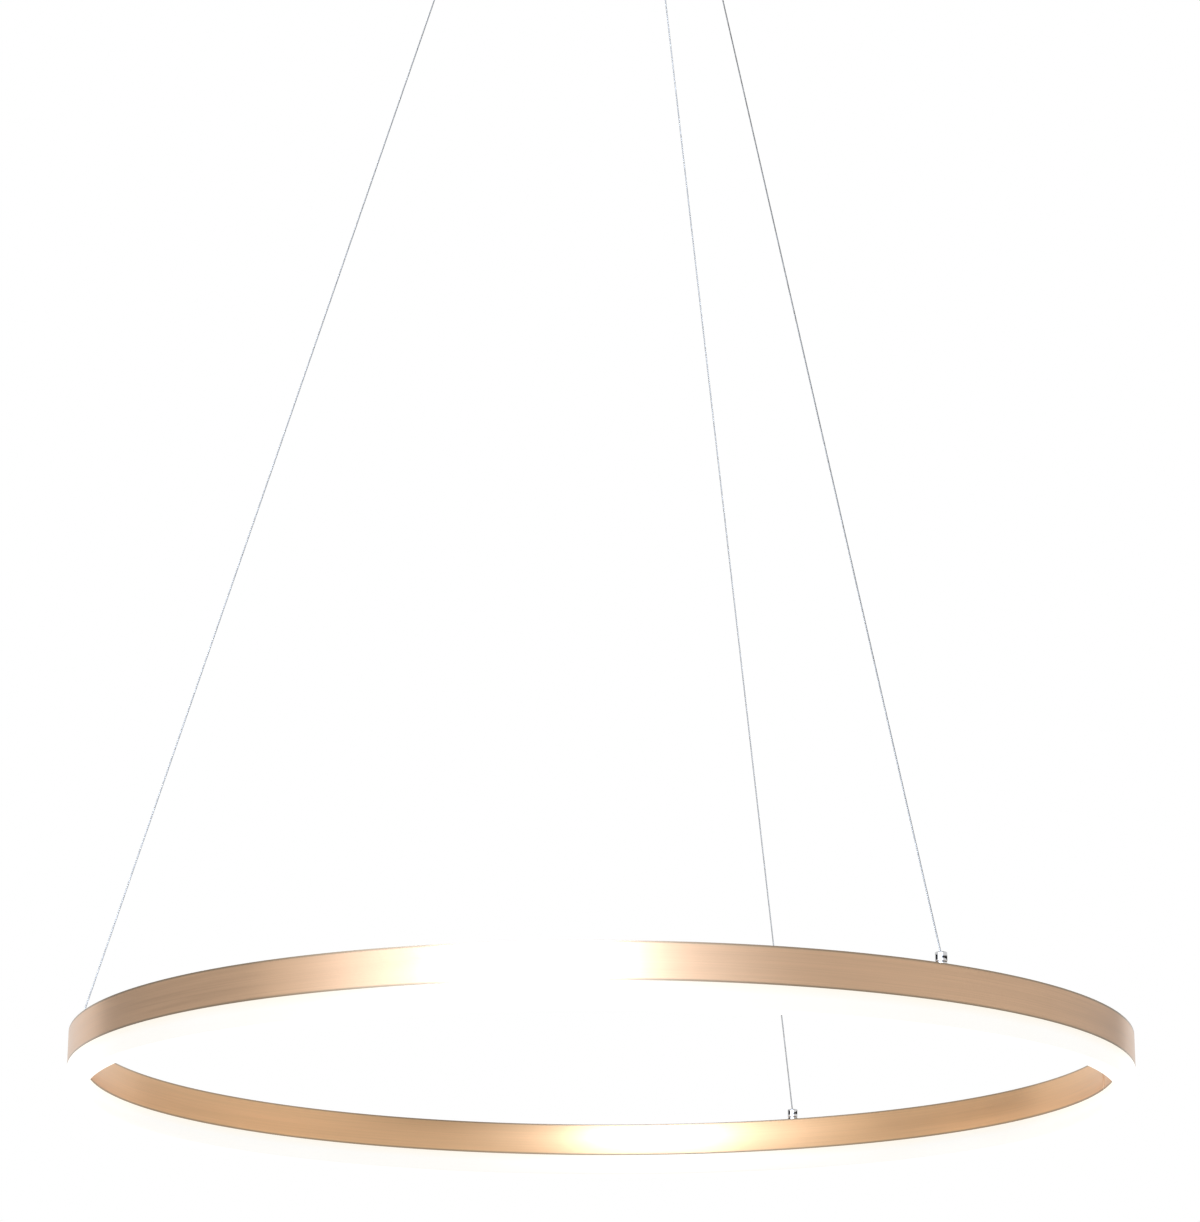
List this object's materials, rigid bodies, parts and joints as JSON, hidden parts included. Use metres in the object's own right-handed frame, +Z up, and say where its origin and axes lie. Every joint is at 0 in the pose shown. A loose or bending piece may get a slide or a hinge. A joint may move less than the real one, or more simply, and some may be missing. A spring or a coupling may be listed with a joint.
{
  "type": "led ring chandelier",
  "caption": "Large slim luminous ring hung level on splayed taut steel wires from a round ceiling canopy, with cord grippers that set its height.",
  "frame": {"origin": "middle of the ceiling bracket's upper face, on the ceiling", "axes": "+Z up towards the ceiling, +Y along the bracket, the lamp hangs below zero"},
  "size_m": [0.7999, 0.8, 1.21],
  "materials": {
    "champagne_metal": "brushed round the ring, champagne gold anodised",
    "opal_acrylic": "opal, luminous when lit",
    "chrome": "polished",
    "wire_steel": "plain stranded steel",
    "zinc_steel": "zinc plated sheet",
    "brass": "plain turned",
    "white_plastic": "matt moulded",
    "white_board": "white solder mask",
    "phosphor": "yellow phosphor in silicone",
    "foam": "grey foam"
  },
  "bodies": {
    "canopy": {"ceiling_bracket": "zinc_steel", "canopy_cup": "champagne_metal", "canopy_screws": "chrome", "terminal_block": "white_plastic", "driver_tape": "foam", "led_driver": "white_plastic", "gripper_bodies": "chrome", "gripper_nuts": "zinc_steel", "wire_tails": "wire_steel", "suspension_wire_1": "wire_steel", "suspension_wire_2": "wire_steel", "suspension_wire_3": "wire_steel"},
    "ring": {"ring_profile": "champagne_metal", "diffuser": "opal_acrylic", "led_boards": "white_board", "led_emitters": "phosphor", "ring_glands": "chrome", "wire_stops": "brass"},
    "release_1": {"release_sleeve_1": "chrome"},
    "release_2": {"release_sleeve_2": "chrome"},
    "release_3": {"release_sleeve_3": "chrome"}
  },
  "joints": [
    {"name": "ring_height", "type": "slide", "parent": "canopy", "child": "ring", "axis": [0, 0, 1], "range_m": [0, 0.5], "deforming": ["suspension_wire_1", "suspension_wire_2", "suspension_wire_3"]},
    {"name": "release_1", "type": "slide", "parent": "canopy", "child": "release_1", "axis": [0, 0, 1], "range_m": [0, 0.002], "stiffness_N_per_m": 800, "springref_m": -0.003},
    {"name": "release_2", "type": "slide", "parent": "canopy", "child": "release_2", "axis": [0, 0, 1], "range_m": [0, 0.002], "stiffness_N_per_m": 800, "springref_m": -0.003},
    {"name": "release_3", "type": "slide", "parent": "canopy", "child": "release_3", "axis": [0, 0, 1], "range_m": [0, 0.002], "stiffness_N_per_m": 800, "springref_m": -0.003}
  ]
}
